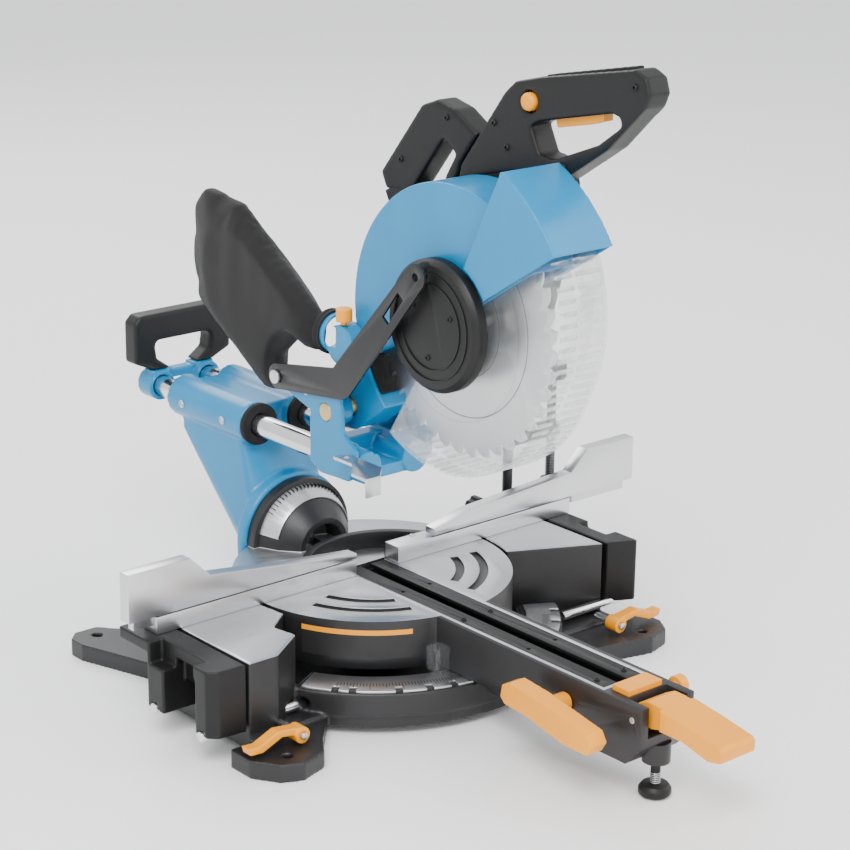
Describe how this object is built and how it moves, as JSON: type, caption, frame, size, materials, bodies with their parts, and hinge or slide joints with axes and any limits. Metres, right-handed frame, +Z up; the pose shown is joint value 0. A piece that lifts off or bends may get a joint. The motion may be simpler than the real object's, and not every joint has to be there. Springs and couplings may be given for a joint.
{
  "type": "sliding compound mitre saw",
  "caption": "Sliding compound mitre saw with turntable, tilting slide column, chopping head, clear blade guard, sliding fences, dust bag and levelling foot.",
  "frame": {"origin": "on the bench, straight below the middle of the fence's front face, where the blade's cut line meets it", "axes": "+Z up, +X to the operator's right, +Y away from the operator"},
  "size_m": [0.6568, 0.84, 0.632],
  "materials": {
    "cast_black": "satin",
    "black_plastic": "satin, lightly grained",
    "saw_blue": "gloss",
    "saw_orange": "semi gloss",
    "machined": "brushed",
    "bright_steel": "polished",
    "blade_steel": "radially brushed",
    "zinc_plate": "zinc plated",
    "brass_pin": "satin",
    "clear_plastic": "clear, gloss",
    "bag_cloth": "woven"
  },
  "bodies": {
    "base": {"base_casting": "cast_black", "detent_plate": "zinc_plate", "fence_fixed": "machined", "lever_pins": "bright_steel", "pivot_bolt": "bright_steel"},
    "extension_wing_left": {"extension_left": "black_plastic", "rods_left": "bright_steel"},
    "extension_wing_right": {"extension_right": "black_plastic", "rods_right": "bright_steel"},
    "sliding_fence_left": {"fence_left": "machined"},
    "sliding_fence_right": {"fence_right": "machined"},
    "fence_lock_left": {"fence_knob_left": "cast_black"},
    "fence_lock_right": {"fence_knob_right": "cast_black"},
    "wing_lock_left": {"foot_lever_left": "saw_orange"},
    "wing_lock_right": {"foot_lever_right": "saw_orange"},
    "hold_down_arm": {"clamp_arm": "black_plastic"},
    "hold_down_screw": {"clamp_screw": "black_plastic"},
    "turntable": {"turntable_casting": "black_plastic", "kerf_frame": "machined", "kerf_plates": "black_plastic", "pointer_window": "clear_plastic", "bevel_scale": "zinc_plate", "bevel_shaft": "bright_steel", "handle_pin": "bright_steel"},
    "mitre_lock": {"mitre_handle": "saw_orange"},
    "detent_release": {"release_button": "saw_orange"},
    "bevel_lock": {"bevel_lever": "saw_orange"},
    "bevel_stop_knob": {"stop_knob": "saw_orange"},
    "front_foot": {"levelling_foot": "black_plastic"},
    "bevel_column": {"bevel_arm": "saw_blue", "slide_bushes": "bright_steel", "slide_seals": "black_plastic"},
    "rail_lock": {"rail_knob": "black_plastic"},
    "carriage": {"rails": "bright_steel", "front_bracket": "saw_blue", "rear_yoke": "saw_blue", "rear_handle": "black_plastic", "head_pin": "brass_pin", "link_screws": "bright_steel"},
    "depth_stop": {"depth_plate": "zinc_plate"},
    "head": {"upper_guard": "saw_blue", "head_arm": "saw_blue", "gear_housing": "black_plastic", "motor_housing": "black_plastic", "motor_cap": "black_plastic", "main_handle": "black_plastic", "carry_handle": "black_plastic", "dust_port": "saw_blue", "dust_chute": "black_plastic", "dust_bag": "bag_cloth"},
    "depth_stop_screw": {"depth_screw": "saw_orange"},
    "switch_trigger": {"trigger": "saw_orange"},
    "lock_off_button": {"lock_off": "saw_orange"},
    "spindle_lock_button": {"spindle_lock": "black_plastic"},
    "blade_set": {"blade": "blade_steel", "blade_flanges": "bright_steel", "arbor_bolt": "bright_steel"},
    "blade_guard": {"lower_guard": "clear_plastic", "guard_hub": "black_plastic"},
    "guard_link": {"link_arm": "black_plastic"}
  },
  "joints": [
    {"name": "left_wing_slide", "type": "slide", "parent": "base", "child": "extension_wing_left", "axis": [-1, 0, 0], "range_m": [0, 0.045]},
    {"name": "right_wing_slide", "type": "slide", "parent": "base", "child": "extension_wing_right", "axis": [1, 0, 0], "range_m": [0, 0.04]},
    {"name": "left_fence_slide", "type": "slide", "parent": "base", "child": "sliding_fence_left", "axis": [-1, 0, 0], "range_m": [0, 0.07]},
    {"name": "right_fence_slide", "type": "slide", "parent": "base", "child": "sliding_fence_right", "axis": [-1, 0, 0], "range_m": [0, 0.048]},
    {"name": "left_fence_lock_turn", "type": "hinge", "parent": "base", "child": "fence_lock_left", "pos_m": [-0.175, 0, 0.1096], "axis": [0, 1, 0], "range_deg": [0, 180]},
    {"name": "right_fence_lock_turn", "type": "hinge", "parent": "base", "child": "fence_lock_right", "pos_m": [0.175, 0, 0.1096], "axis": [0, 1, 0], "range_deg": [0, 180]},
    {"name": "left_wing_lock_lift", "type": "hinge", "parent": "base", "child": "wing_lock_left", "pos_m": [-0.205, -0.135, 0.028], "axis": [0, -1, 0], "range_deg": [-25, 0]},
    {"name": "right_wing_lock_lift", "type": "hinge", "parent": "base", "child": "wing_lock_right", "pos_m": [0.205, -0.135, 0.028], "axis": [0, -1, 0], "range_deg": [0, 25]},
    {"name": "hold_down_swing", "type": "hinge", "parent": "base", "child": "hold_down_arm", "pos_m": [0.205, 0.033, 0.178], "axis": [0, 0, 1], "range_deg": [0, 30]},
    {"name": "hold_down_press", "type": "slide", "parent": "hold_down_arm", "child": "hold_down_screw", "axis": [0, 0, -1], "range_m": [0, 0.02]},
    {"name": "mitre_swing", "type": "hinge", "parent": "base", "child": "turntable", "pos_m": [0, 0.008, 0.06], "axis": [0, 0, -1], "range_deg": [-50, 50]},
    {"name": "mitre_lock_lift", "type": "hinge", "parent": "turntable", "child": "mitre_lock", "pos_m": [0, -0.39, 0.082], "axis": [-1, 0, 0], "range_deg": [0, 12]},
    {"name": "detent_release_press", "type": "slide", "parent": "turntable", "child": "detent_release", "axis": [0, 0, -1], "range_m": [0, 0.004], "stiffness_N_per_m": 500},
    {"name": "bevel_lock_swing", "type": "hinge", "parent": "turntable", "child": "bevel_lock", "pos_m": [-0.06, -0.308, 0.072], "axis": [1, 0, 0], "range_deg": [-18, 18]},
    {"name": "bevel_stop_turn", "type": "hinge", "parent": "turntable", "child": "bevel_stop_knob", "pos_m": [0.045, -0.368, 0.086], "axis": [1, 0, 0], "range_deg": [0, 180]},
    {"name": "front_foot_screw", "type": "slide", "parent": "turntable", "child": "front_foot", "axis": [0, 0, 1], "range_m": [0, 0.01]},
    {"name": "bevel_tilt", "type": "hinge", "parent": "turntable", "child": "bevel_column", "pos_m": [0, 0.128, 0.096], "axis": [0, -1, 0], "range_deg": [-45, 45]},
    {"name": "rail_lock_turn", "type": "hinge", "parent": "bevel_column", "child": "rail_lock", "pos_m": [0.06, 0.225, 0.216], "axis": [1, 0, 0], "range_deg": [0, 180]},
    {"name": "carriage_slide", "type": "slide", "parent": "bevel_column", "child": "carriage", "axis": [0, -1, 0], "range_m": [-0.105, 0]},
    {"name": "depth_stop_swing", "type": "hinge", "parent": "carriage", "child": "depth_stop", "pos_m": [-0.058, -0.022, 0.2315], "axis": [0, 0, -1], "range_deg": [0, 20]},
    {"name": "head_chop", "type": "hinge", "parent": "carriage", "child": "head", "pos_m": [0, 0.022, 0.266], "axis": [1, 0, 0], "range_deg": [0, 53]},
    {"name": "depth_screw_turn", "type": "hinge", "parent": "head", "child": "depth_stop_screw", "pos_m": [-0.0356, 0.01, 0.36], "axis": [0, 0, 1], "range_deg": [0, 180]},
    {"name": "trigger_squeeze", "type": "slide", "parent": "head", "child": "switch_trigger", "axis": [0, 0.2501, 0.9682], "range_m": [0, 0.004], "stiffness_N_per_m": 600},
    {"name": "lock_off_press", "type": "slide", "parent": "head", "child": "lock_off_button", "axis": [1, 0, 0], "range_m": [0, 0.003], "stiffness_N_per_m": 500},
    {"name": "spindle_lock_press", "type": "slide", "parent": "head", "child": "spindle_lock_button", "axis": [-1, 0, 0], "range_m": [0, 0.003], "stiffness_N_per_m": 600},
    {"name": "blade_spin", "type": "hinge", "parent": "head", "child": "blade_set", "pos_m": [0, -0.1225, 0.378], "axis": [1, 0, 0], "continuous": true},
    {"name": "guard_retract", "type": "hinge", "parent": "head", "child": "blade_guard", "pos_m": [0, -0.1225, 0.378], "axis": [1, 0, 0], "range_deg": [-138, 0]},
    {"name": "guard_link_swing", "type": "hinge", "parent": "carriage", "child": "guard_link", "pos_m": [-0.0516, 0.095, 0.286], "axis": [1, 0, 0], "range_deg": [0, 30]}
  ],
  "couplings": [
    {"joint": "guard_retract", "follows": "head_chop", "ratio": -2.6},
    {"joint": "guard_link_swing", "follows": "head_chop", "ratio": 0.55}
  ]
}
